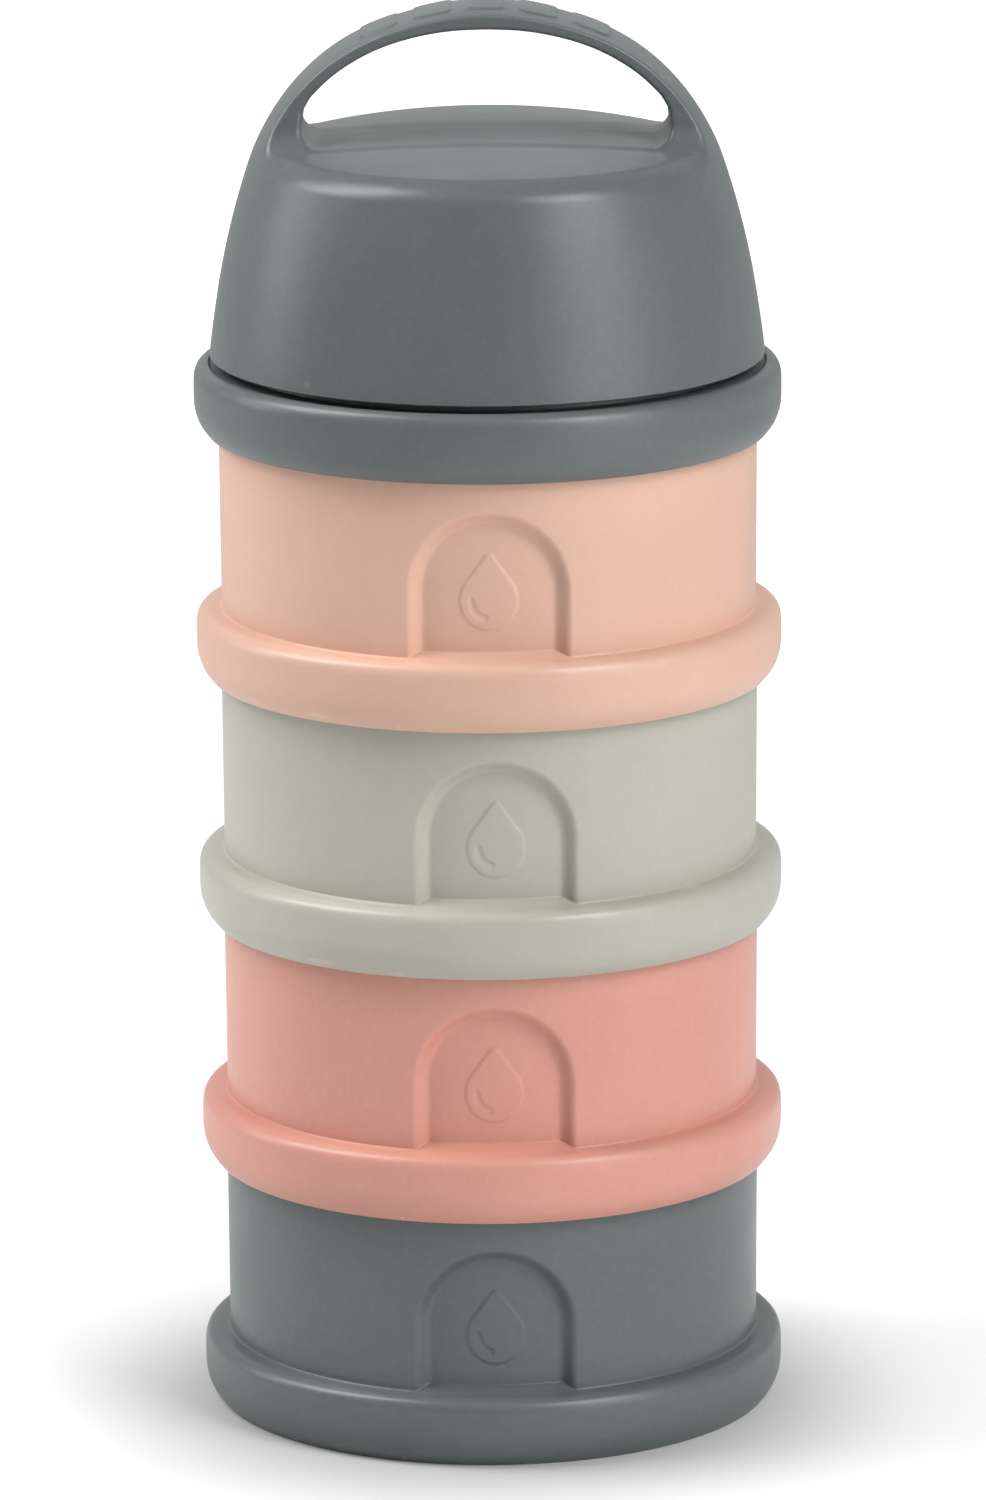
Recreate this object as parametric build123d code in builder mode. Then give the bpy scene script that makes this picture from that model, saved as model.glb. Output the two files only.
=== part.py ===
from build123d import *
import math
import os

# Stacking formula dispenser: four screw-together powder canisters, a funnel
# lid with a pouring spout, and a domed overcap with a moulded carry handle.
# Millimetres.  +Z is up, the origin is the centre of the bottom face, and the
# arched recess on every canister faces -Y.

# ---------------------------------------------------------------- dimensions
PITCH = 37.83            # height added to the stack by one canister
RING_R = 44.5            # outer radius of the grip ring round each base
RING_FOOT_R = 42.42      # radius of the ring's lower edge
RING_H = 10.6            # height of the ring's top shoulder
WALL_R_LOW = 40.65       # canister wall just above the ring
WALL_R_TOP = 40.81       # canister wall below the next ring
BORE_R = 39.0            # inside radius of the canister
FLOOR_Z = 8.9            # underside of the canister floor
FLOOR_T = 2.0            # floor thickness

SKIRT_R = 41.6           # inside radius of the threaded skirt
NECK_R = 40.4            # outside radius of the threaded neck
NECK_H = 7.35            # neck height above the canister below the next ring
RIB_R0, RIB_R1 = 36.9, 38.1      # locating rib inside the gasket groove
RIB_Z = 7.0              # lower edge of that rib

THREAD_LEAD = 24.0       # axial travel per turn of the four-start thread
THREAD_SWEEP = 55.0      # angle covered by one thread ridge
THREAD_W = 1.2           # axial width of a ridge at its root
NECK_THREAD_R = 41.2     # crest of the neck's ridges
SKIRT_THREAD_R = 40.75   # crest of the skirt's ridges
THREAD_GAP = 1.5         # axial offset between mating ridges, centre to centre

ARCH_HALF = 12.2         # half width of the arched recess at the surface
ARCH_FLOOR_HALF = 10.7   # half width of its floor
ARCH_Z = 20.8            # height of the arch's centre
ARCH_FLOOR_R = 38.75     # radius of the recess floor about the stack's axis
ARCH_SKIN = 1.7          # wall thickness behind the recess
ARCH_FOOT_Z = 11.2       # lower end of the recess
DROP_R = 4.55            # round part of the raised milk-drop emblem
DROP_Z = 19.35           # height of its centre
DROP_TIP_Z = 26.4        # height of its tip
DROP_H = 0.22            # how far the emblem stands out

TURN_2, TURN_3, TURN_4 = 1.2, 0.5, 0.5   # degrees by which each stops short

GASKET_R0, GASKET_R1 = 38.35, 41.3
GASKET_T = 1.5

LID_Z = 151.16           # lower edge of the spout lid's ring
LID_TOP = 11.0           # top of the lid inside its collar, above its lower edge
LID_SHOULDER = 10.62     # top of the grip ring
LID_CHANNEL = 10.2       # shallow channel under the edge of the overcap
LID_PLATE_Z = 8.9
FUNNEL_R = 36.4          # outside of the funnel where it leaves the lid
FUNNEL_T = 1.6
SPOUT_R = 15.5           # outside radius of the spout
SPOUT_CONE_TOP = 33.0    # where the cone turns into the spout
SPOUT_TOP = 39.9         # mouth of the spout, above the lid's lower edge
COLLAR_R = 38.5          # collar that carries the cap's thread
COLLAR_R_IN = 37.1
COLLAR_TOP = 18.5
COLLAR_THREAD_R = 39.3

CAP_Z = 162.65           # lower edge of the dome
CAP_BORE_R = 39.65        # bore of the dome round the collar
CAP_THREAD_R = 38.85
CAP_BORE_TOP = 169.5
CAP_CEILING = 194.6      # underside of the deck
DECK_Z = 197.15          # crown of the deck under the handle
DECK_RHO = 258.0         # crown radius of the deck
STRAP_HALF = 8.1         # half depth of the handle strap
STRAP_FOOT = 11.4        # half depth where it meets the deck
TOP_Z = 216.6            # crown of the handle

BAR_X = (-16.0, -8.0, 0.0, 8.0, 16.0)    # grip pads across the handle
BAR_L, BAR_W, BAR_H = 10.6, 5.6, 0.25
BAR_CORNER = 1.3

SEAL_R = 16.4
SEAL_PLUG_R = 13.6

# dome outline, (height, radius)
DOME = [(CAP_Z, 42.05), (166.0, 41.65), (170.0, 41.08), (175.0, 40.27),
        (180.0, 39.25), (185.0, 38.01), (190.0, 36.54), (194.0, 35.16),
        (198.0, 33.23), (202.0, 30.65), (206.0, 27.17), (209.0, 23.61),
        (212.0, 18.42), (214.0, 13.17), (215.7, 6.8), (TOP_Z, 0.0)]

# handle opening seen from the front, right half: (x, z) from the crown down
OPENING = [(0.0, 213.12), (2.0, 213.08), (5.6, 212.85), (9.2, 212.28),
           (12.8, 211.38), (16.4, 210.08), (20.0, 208.2), (23.6, 205.6),
           (26.2, 203.0), (27.7, 200.6)]


# ------------------------------------------------------------- shared shapes
def corner(verts, x, y):
    """The sketch vertex nearest to (x, y)."""
    return min(verts, key=lambda v: (v.X - x) ** 2 + (v.Y - y) ** 2)


def ridge(root_r, crest_r, z0):
    """One helical thread ridge; its centre line starts at height z0."""
    side = 1 if crest_r > root_r else -1
    bite = root_r - side * 0.35
    rise = THREAD_LEAD * THREAD_SWEEP / 360.0
    with BuildPart() as thread:
        with BuildLine() as spine:
            Helix(pitch=THREAD_LEAD, height=rise, radius=root_r,
                  center=(0, 0, z0))
        with BuildSketch(Plane.XZ) as tooth:
            with BuildLine():
                Polyline((bite, z0 - THREAD_W / 2), (root_r, z0 - THREAD_W / 2),
                         (crest_r, z0 - THREAD_W * 0.3),
                         (crest_r, z0 + THREAD_W * 0.3),
                         (root_r, z0 + THREAD_W / 2), (bite, z0 + THREAD_W / 2),
                         close=True)
            make_face()
        sweep(sections=tooth.sketch, path=spine.line, is_frenet=True)
    return thread.part


def arch_face(half, foot):
    """Arch as a sketch face: straight sides and a round head."""
    with BuildLine() as line:
        Polyline((-half, ARCH_Z), (-half, foot), (half, foot), (half, ARCH_Z))
        ThreePointArc((half, ARCH_Z), (0, ARCH_Z + half), (-half, ARCH_Z))
    return line.edges()


def ring_side(z0, shoulder):
    """Outer side of a grip ring, from its foot up to its shoulder point."""
    Line((SKIRT_R, z0), (RING_FOOT_R, z0))
    Spline((RING_FOOT_R, z0), (43.0, z0 + 0.72), (43.56, z0 + 1.52),
           (44.06, z0 + 2.62), (44.4, z0 + 4.0), (RING_R, z0 + 5.8),
           tangents=((0.62, 0.8), (0, 1)))
    Line((RING_R, z0 + 5.8), (RING_R, z0 + 8.0))
    Spline((RING_R, z0 + 8.0), (44.4, z0 + 9.0), (44.08, z0 + 9.7),
           (43.5, z0 + 10.22), shoulder, tangents=((0, 1), (-1, 0.18)))


def gasket_shape(z0):
    """Flat silicone ring; its top touches the roof of the groove."""
    with BuildPart() as ring:
        with BuildSketch(Plane.XZ) as section:
            with BuildLine():
                Polyline((GASKET_R0, z0), (GASKET_R1, z0),
                         (GASKET_R1, z0 + GASKET_T), (GASKET_R0, z0 + GASKET_T),
                         close=True)
            make_face()
            fillet(section.vertices(), 0.3)
        revolve(axis=Axis.Z)
    return ring.part


os.makedirs("parts", exist_ok=True)

# ------------------------------------------------------------ the canisters
FLOOR_TOP = FLOOR_Z + FLOOR_T
RIM = PITCH + NECK_H

# the wall steps inwards behind the recess, at an even thickness
with BuildPart() as recess_bulge:
    with BuildSketch(Plane.XZ.offset(30)):
        make_face(arch_face(ARCH_HALF + 0.9, FLOOR_TOP - 0.5))
    extrude(amount=12)
    with BuildSketch(Plane.XY):
        Circle(BORE_R + 0.4)
        Circle(ARCH_FLOOR_R - ARCH_SKIN, mode=Mode.SUBTRACT)
    extrude(amount=60, mode=Mode.INTERSECT)

# arched recess with sloping sides and a floor that follows the wall
with BuildPart() as recess_cut:
    with BuildSketch(Plane.XZ.offset(37.4)):
        make_face(arch_face(ARCH_FLOOR_HALF - 0.1, ARCH_FOOT_Z))
    with BuildSketch(Plane.XZ.offset(42.0)):
        make_face(arch_face(ARCH_HALF + 2.0, RING_H + 0.15))
    loft(ruled=True)
    with BuildSketch(Plane.XY):
        Circle(ARCH_FLOOR_R)
    extrude(amount=60, mode=Mode.SUBTRACT)

# raised milk-drop emblem on the recess floor
with BuildPart() as milk_drop:
    with BuildSketch(Plane.XZ.offset(36)) as drop_outline:
        with BuildLine():
            lean = math.acos(DROP_R / (DROP_TIP_Z - DROP_Z))
            tx, tz = DROP_R * math.sin(lean), DROP_R * math.cos(lean)
            Line((0, DROP_TIP_Z), (-tx, DROP_Z + tz))
            ThreePointArc((-tx, DROP_Z + tz), (0, DROP_Z - DROP_R),
                          (tx, DROP_Z + tz))
            Line((tx, DROP_Z + tz), (0, DROP_TIP_Z))
        make_face()
        fillet(corner(drop_outline.vertices(), 0, DROP_TIP_Z), 0.9)
    extrude(amount=5)
    with BuildSketch(Plane.XY):
        Circle(ARCH_FLOOR_R + DROP_H)
        Circle(ARCH_FLOOR_R - 0.6, mode=Mode.SUBTRACT)
    extrude(amount=60, mode=Mode.INTERSECT)

neck_ridge = ridge(NECK_R, NECK_THREAD_R, PITCH + 2.4)
skirt_ridge = ridge(SKIRT_R, SKIRT_THREAD_R, 2.4 - THREAD_GAP)

with BuildPart() as canister:
    # floor, wall, threaded neck and skirt in one turned profile
    with BuildSketch(Plane.XZ) as can_profile:
        with BuildLine():
            ring_side(0, (42.6, 10.5))
            Polyline((42.6, 10.5), (WALL_R_LOW, RING_H),
                     (WALL_R_TOP, PITCH + 0.6), (NECK_R, PITCH + 0.95),
                     (NECK_R, RIM), (BORE_R, RIM), (BORE_R, FLOOR_TOP),
                     (0, FLOOR_TOP), (0, FLOOR_Z), (RIB_R0, FLOOR_Z),
                     (RIB_R0, RIB_Z), (RIB_R1, RIB_Z), (RIB_R1, FLOOR_Z),
                     (SKIRT_R, FLOOR_Z), (SKIRT_R, 0))
        make_face()
        fillet(corner(can_profile.vertices(), BORE_R, FLOOR_TOP), 3.0)
        fillet([corner(can_profile.vertices(), BORE_R, RIM),
                corner(can_profile.vertices(), NECK_R, RIM)], 0.35)
        fillet(corner(can_profile.vertices(), WALL_R_LOW, RING_H), 0.3)
        fillet([corner(can_profile.vertices(), RIB_R0, RIB_Z),
                corner(can_profile.vertices(), RIB_R1, RIB_Z)], 0.3)
    revolve(axis=Axis.Z)
    add(recess_bulge.part)
    add(recess_cut.part, mode=Mode.SUBTRACT)
    add(milk_drop.part)
    # thread ridges: outside on the neck, inside on the skirt
    for k in range(4):
        add(neck_ridge.rotate(Axis.Z, 90 * k + 20))
        add(skirt_ridge.rotate(Axis.Z, 90 * k + 20))

# canister_1 is the top one; canister_4 stands on the table
canister_master = canister.part

# none of them is screwed home quite as far as the top one
with BuildPart() as canister_4:
    add(canister_master.moved(Location((0, 0, 0), (0, 0, TURN_4))))
canister_4.part.label = "canister_4"
export_step(canister_4.part, "parts/canister_4.step")

with BuildPart() as canister_3:
    add(canister_master.moved(Location((0, 0, PITCH), (0, 0, TURN_3))))
canister_3.part.label = "canister_3"
export_step(canister_3.part, "parts/canister_3.step")

with BuildPart() as canister_2:
    add(canister_master.moved(Location((0, 0, 2 * PITCH), (0, 0, TURN_2))))
canister_2.part.label = "canister_2"
export_step(canister_2.part, "parts/canister_2.step")

with BuildPart() as canister_1:
    add(canister_master.moved(Location((0, 0, 3 * PITCH))))
canister_1.part.label = "canister_1"
export_step(canister_1.part, "parts/canister_1.step")

# -------------------------------------------------------------- the gaskets
GASKET_Z = FLOOR_Z - GASKET_T

with BuildPart() as gasket_4:
    add(gasket_shape(GASKET_Z))
gasket_4.part.label = "gasket_4"
export_step(gasket_4.part, "parts/gasket_4.step")

with BuildPart() as gasket_3:
    add(gasket_shape(GASKET_Z + PITCH))
gasket_3.part.label = "gasket_3"
export_step(gasket_3.part, "parts/gasket_3.step")

with BuildPart() as gasket_2:
    add(gasket_shape(GASKET_Z + 2 * PITCH))
gasket_2.part.label = "gasket_2"
export_step(gasket_2.part, "parts/gasket_2.step")

with BuildPart() as gasket_1:
    add(gasket_shape(GASKET_Z + 3 * PITCH))
gasket_1.part.label = "gasket_1"
export_step(gasket_1.part, "parts/gasket_1.step")

# the lid closes the top canister, whose rim is at 4 * PITCH + NECK_H
LID_GASKET_Z = 4 * PITCH + NECK_H + 0.05
LID_ROOF = LID_GASKET_Z + GASKET_T - LID_Z      # roof of the lid's groove

with BuildPart() as lid_gasket:
    add(gasket_shape(LID_GASKET_Z))
lid_gasket.part.label = "lid_gasket"
export_step(lid_gasket.part, "parts/lid_gasket.step")

# ------------------------------------------------------------ the spout lid
with BuildPart() as spout_lid:
    with BuildSketch(Plane.XZ) as lid_profile:
        with BuildLine():
            z = LID_Z
            ring_side(z, (42.8, z + LID_SHOULDER - 0.12))
            Polyline((42.8, z + LID_SHOULDER - 0.12),
                     (42.3, z + LID_SHOULDER), (41.9, z + LID_CHANNEL),
                     (COLLAR_R, z + LID_CHANNEL),
                     (COLLAR_R, z + COLLAR_TOP), (COLLAR_R_IN, z + COLLAR_TOP),
                     (COLLAR_R_IN, z + LID_TOP), (FUNNEL_R, z + LID_TOP),
                     (SPOUT_R, z + SPOUT_CONE_TOP), (SPOUT_R, z + SPOUT_TOP),
                     (SPOUT_R - FUNNEL_T, z + SPOUT_TOP),
                     (SPOUT_R - FUNNEL_T, z + SPOUT_CONE_TOP - 0.6),
                     (FUNNEL_R - 2.3, z + LID_ROOF + 0.4),
                     (FUNNEL_R - 2.3, z + LID_ROOF - 1.9),
                     (RIB_R1, z + LID_ROOF - 1.9), (RIB_R1, z + LID_ROOF),
                     (SKIRT_R, z + LID_ROOF), (SKIRT_R, z))
        make_face()
        fillet(corner(lid_profile.vertices(), SPOUT_R, z + SPOUT_CONE_TOP), 4.0)
        fillet(corner(lid_profile.vertices(), SPOUT_R - FUNNEL_T,
                      z + SPOUT_CONE_TOP - 0.6), 4.0)
        fillet([corner(lid_profile.vertices(), SPOUT_R, z + SPOUT_TOP),
                corner(lid_profile.vertices(), SPOUT_R - FUNNEL_T,
                       z + SPOUT_TOP)], 0.5)
        fillet([corner(lid_profile.vertices(), COLLAR_R, z + COLLAR_TOP),
                corner(lid_profile.vertices(), COLLAR_R_IN, z + COLLAR_TOP)],
               0.35)
    revolve(axis=Axis.Z)
    lid_skirt_ridge = ridge(SKIRT_R, SKIRT_THREAD_R,
                            4 * PITCH + 2.4 - THREAD_GAP)
    lid_collar_ridge = ridge(COLLAR_R, COLLAR_THREAD_R,
                             LID_Z + LID_TOP + 2.6)
    for k in range(4):
        add(lid_skirt_ridge.rotate(Axis.Z, 90 * k + 20))
        add(lid_collar_ridge.rotate(Axis.Z, 90 * k + 20))
spout_lid.part.label = "spout_lid"
export_step(spout_lid.part, "parts/spout_lid.step")

# ------------------------------------------- the overcap and its handle strap
# everything that is cut away from the full dome, above the deck
with BuildPart() as handle_void:
    # the finger opening, straight through from front to back
    with BuildSketch(Plane.XZ) as finger_gap:
        with BuildLine():
            right = OPENING
            left = [(-px, pz) for px, pz in reversed(OPENING)]
            Spline(*(left[:-1] + right))
            ThreePointArc(right[-1], (28.3, 198.2), (26.6, 194.0))
            Line((26.6, 194.0), (-26.6, 194.0))
            ThreePointArc((-26.6, 194.0), (-28.3, 198.2), left[0])
        make_face()
    extrude(amount=50, both=True)
    # the dome in front of and behind the strap
    with BuildSketch(Plane.YZ) as shoulders:
        for side in (1, -1):
            with BuildLine():
                Line((side * STRAP_HALF, 203.0), (side * STRAP_HALF, 222.0))
                Line((side * STRAP_HALF, 222.0), (side * 50.0, 222.0))
                Line((side * 50.0, 222.0), (side * 50.0, 192.0))
                Line((side * 50.0, 192.0), (side * (STRAP_FOOT + 1.6), 192.0))
                Spline((side * (STRAP_FOOT + 1.6), 192.0),
                       (side * STRAP_FOOT, 194.6),
                       (side * 8.9, 198.3), (side * STRAP_HALF, 203.0),
                       tangents=((-side * 0.3, 1), (0, 1)))
            make_face()
    extrude(amount=50, both=True)
    # the deck stays
    with Locations((0, 0, DECK_Z - DECK_RHO)):
        Sphere(DECK_RHO, mode=Mode.SUBTRACT)

# five rounded grip pads that stand BAR_H proud of the crown
with BuildPart() as grip_bars:
    with BuildSketch(Plane.XZ):
        with BuildLine():
            Spline(*[(r, h + BAR_H) for h, r in DOME[9:]],
                   tangents=((-0.7, 0.7), (-1, 0)))
            Spline(*[(r, h - 0.8) for h, r in DOME[9:]],
                   tangents=((-0.7, 0.7), (-1, 0)))
            Line((0, TOP_Z + BAR_H), (0, TOP_Z - 0.8))
            Line((DOME[9][1], DOME[9][0] + BAR_H), (DOME[9][1], DOME[9][0] - 0.8))
        make_face()
    revolve(axis=Axis.Z)
    with BuildSketch(Plane.XY.offset(200)):
        with Locations(*[(gx, 0) for gx in BAR_X]):
            RectangleRounded(BAR_W, BAR_L, BAR_CORNER)
    extrude(amount=20, mode=Mode.INTERSECT)

with BuildPart() as handle_cap:
    with BuildSketch(Plane.XZ) as dome_profile:
        with BuildLine():
            Spline(*[(r, h) for h, r in DOME],
                   tangents=((-0.12, 1), (-1, 0)))
            Polyline((0, TOP_Z), (0, CAP_Z), (DOME[0][1], CAP_Z))
        make_face()
    revolve(axis=Axis.Z)
    add(handle_void.part, mode=Mode.SUBTRACT)

    # hollow inside, up to the underside of the deck
    with BuildSketch(Plane.XZ) as hollow:
        with BuildLine():
            Polyline((0, CAP_Z - 1), (CAP_BORE_R, CAP_Z - 1),
                     (CAP_BORE_R, CAP_BORE_TOP), (38.8, CAP_BORE_TOP + 1.0),
                     (37.2, 180.0), (35.9, 185.0), (34.7, 189.2),
                     (32.8, 192.5), (18.2, CAP_CEILING), (0, CAP_CEILING),
                     (0, CAP_Z - 1))
        make_face()
        fillet(corner(hollow.vertices(), 32.8, 192.5), 3.0)
    revolve(axis=Axis.Z, mode=Mode.SUBTRACT)

    # boss that holds the spout seal
    with BuildSketch(Plane.XZ) as boss:
        with BuildLine():
            Polyline((0, CAP_CEILING + 0.5), (18.2, CAP_CEILING + 0.5),
                     (18.2, 191.6), (SEAL_R + 0.3, 191.6),
                     (SEAL_R + 0.3, 192.95), (0, 192.95), close=True)
        make_face()
    revolve(axis=Axis.Z)

    cap_ridge = ridge(CAP_BORE_R, CAP_THREAD_R, LID_Z + LID_TOP + 2.6 - THREAD_GAP)
    for k in range(4):
        add(cap_ridge.rotate(Axis.Z, 90 * k + 20))

    # five rounded grip bars across the crown of the handle
    add(grip_bars.part)
handle_cap.part.label = "handle_cap"
export_step(handle_cap.part, "parts/handle_cap.step")

# ------------------------------------------------------------ the spout seal
with BuildPart() as spout_seal:
    with BuildSketch(Plane.XZ) as plug:
        with BuildLine():
            mouth = LID_Z + SPOUT_TOP
            Polyline((0, 192.9), (SEAL_R, 192.9), (SEAL_R, mouth + 0.05),
                     (SEAL_PLUG_R, mouth + 0.05), (SEAL_PLUG_R, mouth - 1.2),
                     (SEAL_PLUG_R - 0.8, mouth - 3.0), (0, mouth - 3.0),
                     close=True)
        make_face()
        fillet(corner(plug.vertices(), SEAL_R, 192.9), 0.4)
    revolve(axis=Axis.Z)
spout_seal.part.label = "spout_seal"
export_step(spout_seal.part, "parts/spout_seal.step")
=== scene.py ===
import bpy
import math
import numpy as np
from mathutils import Matrix, Vector


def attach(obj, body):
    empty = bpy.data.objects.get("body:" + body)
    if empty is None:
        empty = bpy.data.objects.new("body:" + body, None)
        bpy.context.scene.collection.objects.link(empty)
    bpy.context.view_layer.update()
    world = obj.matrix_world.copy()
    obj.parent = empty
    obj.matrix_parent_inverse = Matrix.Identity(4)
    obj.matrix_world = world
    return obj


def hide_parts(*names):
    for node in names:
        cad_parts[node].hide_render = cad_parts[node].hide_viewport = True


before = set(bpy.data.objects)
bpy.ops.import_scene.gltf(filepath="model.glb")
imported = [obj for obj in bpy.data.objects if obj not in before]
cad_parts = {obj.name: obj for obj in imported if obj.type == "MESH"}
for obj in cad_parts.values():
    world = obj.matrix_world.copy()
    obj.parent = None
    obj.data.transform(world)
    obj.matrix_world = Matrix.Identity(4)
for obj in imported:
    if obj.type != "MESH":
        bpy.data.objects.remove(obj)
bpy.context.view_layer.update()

# ------------------------------------------------------------------ camera
# set first; millimetres here, metres in the scene
CAM_POS = (0.0, -1480.03, 454.26)
CAM_PITCH, CAM_ROLL, CAM_YAW = 0.234404, -0.006245, 0.000329
FOCAL_PX = 9962.86

cam_data = bpy.data.cameras.new("camera")
cam_data.lens = FOCAL_PX / 1500.0 * 36.0
cam_data.sensor_width = 36.0
cam_data.clip_start, cam_data.clip_end = 0.05, 50.0
cam = bpy.data.objects.new("camera", cam_data)
bpy.context.collection.objects.link(cam)
fwd = Vector((math.sin(CAM_YAW) * math.cos(CAM_PITCH),
              math.cos(CAM_YAW) * math.cos(CAM_PITCH), -math.sin(CAM_PITCH)))
right = Vector((math.cos(CAM_YAW), -math.sin(CAM_YAW), 0.0))
up = right.cross(fwd)
r2 = math.cos(CAM_ROLL) * right + math.sin(CAM_ROLL) * up
u2 = -math.sin(CAM_ROLL) * right + math.cos(CAM_ROLL) * up
rot = Matrix((r2, u2, -fwd)).transposed().to_4x4()
cam.matrix_world = Matrix.Translation(Vector(CAM_POS) / 1000.0) @ rot
bpy.context.scene.camera = cam

# --------------------------------------------------------------- dimensions
PITCH = 37.83
RING_R, RING_FOOT_R, RING_H = 44.5, 42.42, 10.6
WALL_R_LOW, WALL_R_TOP, BORE_R = 40.65, 40.81, 39.0
FLOOR_Z, FLOOR_T = 8.9, 2.0
SKIRT_R, NECK_R, NECK_H = 41.6, 40.4, 7.35
RIB_R0, RIB_R1, RIB_Z = 36.9, 38.1, 7.0
THREAD_LEAD, THREAD_SWEEP, THREAD_W = 24.0, 55.0, 1.2
NECK_THREAD_R, SKIRT_THREAD_R, THREAD_GAP = 41.2, 40.75, 1.5
ARCH_HALF, ARCH_Z = 12.65, 20.65
ARCH_DEPTH, ARCH_OUT, ARCH_IN = 2.05, 1.1, 1.25
ARCH_FLOOR_R, ARCH_SKIN = 38.75, 1.7
LID_Z, LID_TOP = 151.16, 11.0
FUNNEL_R, FUNNEL_T = 36.4, 1.6
SPOUT_R, SPOUT_CONE_TOP, SPOUT_TOP = 15.5, 33.0, 39.9
COLLAR_R, COLLAR_R_IN, COLLAR_TOP, COLLAR_THREAD_R = 38.5, 37.1, 18.5, 39.3
CAP_Z, CAP_BORE_R, CAP_THREAD_R, CAP_BORE_TOP = 162.65, 39.65, 38.85, 169.5
CAP_CEILING, DECK_Z = 194.6, 197.15
STRAP_HALF, TOP_Z = 8.1, 216.6
SEAL_R = 16.4
LID_CHANNEL = 10.2
TURN = {1: 0.0, 2: 1.2, 3: 0.5, 4: 0.5}
DOME = [(CAP_Z, 42.05), (166.0, 41.65), (170.0, 41.08), (175.0, 40.27),
        (180.0, 39.25), (185.0, 38.01), (190.0, 36.54), (194.0, 35.16),
        (198.0, 33.23), (202.0, 30.65), (206.0, 27.17), (209.0, 23.61),
        (212.0, 18.42), (214.0, 13.17), (215.7, 6.8), (TOP_Z, 0.0)]
OPENING = [(0.0, 213.12), (2.0, 213.08), (5.6, 212.85), (9.2, 212.28),
           (12.8, 211.38), (16.4, 210.08), (20.0, 208.2), (23.6, 205.6),
           (26.2, 203.0)]


# ---------------------------------------------------------- small geometry kit
def smax(a, b, k):
    h = np.maximum(k - np.abs(a - b), 0.0)
    return np.maximum(a, b) + h * h / (4.0 * k)


def smin(a, b, k):
    return -smax(-a, -b, k)


def round_max(a, b, r):
    """Intersection of two fields with a rounded edge of radius r."""
    u, v = np.maximum(r + a, 0.0), np.maximum(r + b, 0.0)
    return np.minimum(-r, np.maximum(a, b)) + np.hypot(u, v)


def smooth01(t):
    t = np.clip(t, 0.0, 1.0)
    return t * t * (3.0 - 2.0 * t)


def spline_points(pts, n):
    """Natural cubic spline through pts, by chord length, as n points."""
    p = np.array(pts, float)
    s = np.r_[0.0, np.cumsum(np.hypot(*np.diff(p, axis=0).T))]
    m = len(p)
    h = np.diff(s)
    a = np.zeros((m, m))
    a[0, 0] = a[-1, -1] = 1.0
    rhs = np.zeros((m, 2))
    for i in range(1, m - 1):
        a[i, i - 1], a[i, i], a[i, i + 1] = h[i - 1], 2 * (h[i - 1] + h[i]), h[i]
        rhs[i] = 6 * ((p[i + 1] - p[i]) / h[i] - (p[i] - p[i - 1]) / h[i - 1])
    c = np.linalg.solve(a, rhs)
    t = np.linspace(0, s[-1], n)
    i = np.clip(np.searchsorted(s, t) - 1, 0, m - 2)
    u, w, hi = (t - s[i])[:, None], (s[i + 1] - t)[:, None], h[i][:, None]
    return (c[i] * w ** 3 + c[i + 1] * u ** 3) / (6 * hi) + \
        (p[i] / hi - c[i] * hi / 6) * w + (p[i + 1] / hi - c[i + 1] * hi / 6) * u


def turned(points, arc=5, step=2.5):
    """Profile polyline with rounded corners.  points: (r, z, radius)."""
    out = []
    n = len(points)
    for i, q in enumerate(points):
        p = np.array(q[:2], float)
        rad = q[2] if len(q) > 2 else 0.0
        if rad <= 0 or i in (0, n - 1):
            out.append(p)
            continue
        a = np.array(points[i - 1][:2], float) - p
        b = np.array(points[i + 1][:2], float) - p
        a /= np.linalg.norm(a)
        b /= np.linalg.norm(b)
        half = math.acos(max(-1, min(1, float(a @ b)))) / 2
        d = rad / math.tan(half)
        c = p + (a + b) / np.linalg.norm(a + b) * (rad / math.sin(half))
        p0, p1 = p + a * d - c, p + b * d - c
        t0, t1 = math.atan2(p0[1], p0[0]), math.atan2(p1[1], p1[0])
        dt = (t1 - t0 + math.pi) % (2 * math.pi) - math.pi
        m = max(2, int(round(arc * abs(dt) / (math.pi / 2) * (1 + rad / 4))))
        for k in range(m + 1):
            t = t0 + dt * k / m
            out.append(c + rad * np.array((math.cos(t), math.sin(t))))
    full = [out[0]]
    for q in out[1:]:
        gap = np.linalg.norm(q - full[-1])
        k = max(1, int(math.ceil(gap / step)))
        s = full[-1]
        for j in range(1, k + 1):
            full.append(s + (q - s) * j / k)
    keep = [full[0]]
    for q in full[1:]:
        if np.linalg.norm(q - keep[-1]) > 1e-4:
            keep.append(q)
    return np.array(keep)


def ridges(theta, z, z0):
    """Height 0..1 of the four thread ridges at angle theta (from the front)."""
    t = np.degrees(theta) - 90.0          # angle from +X
    best = np.zeros(np.broadcast(theta, z).shape)
    for k in range(4):
        a = (t - (20 + 90 * k)) % 360.0
        a = np.where(a > 300, a - 360, a)
        centre = z0 + THREAD_LEAD * a / 360.0
        across = 1 - smooth01((np.abs(z - centre) - 0.3 * THREAD_W)
                              / (0.2 * THREAD_W + 0.12))
        along = smooth01((a + 1.0) / 5.0) * smooth01((THREAD_SWEEP + 1.0 - a) / 5.0)
        best = np.maximum(best, across * along)
    return best


def make_object(name, verts_mm, faces, smooth=True):
    mesh = bpy.data.meshes.new(name)
    mesh.from_pydata([tuple(v) for v in (np.asarray(verts_mm) / 1000.0).tolist()],
                     [], faces)
    mesh.validate()
    mesh.update()
    for p in mesh.polygons:
        p.use_smooth = smooth
    ob = bpy.data.objects.new(name, mesh)
    bpy.context.collection.objects.link(ob)
    return ob


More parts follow.
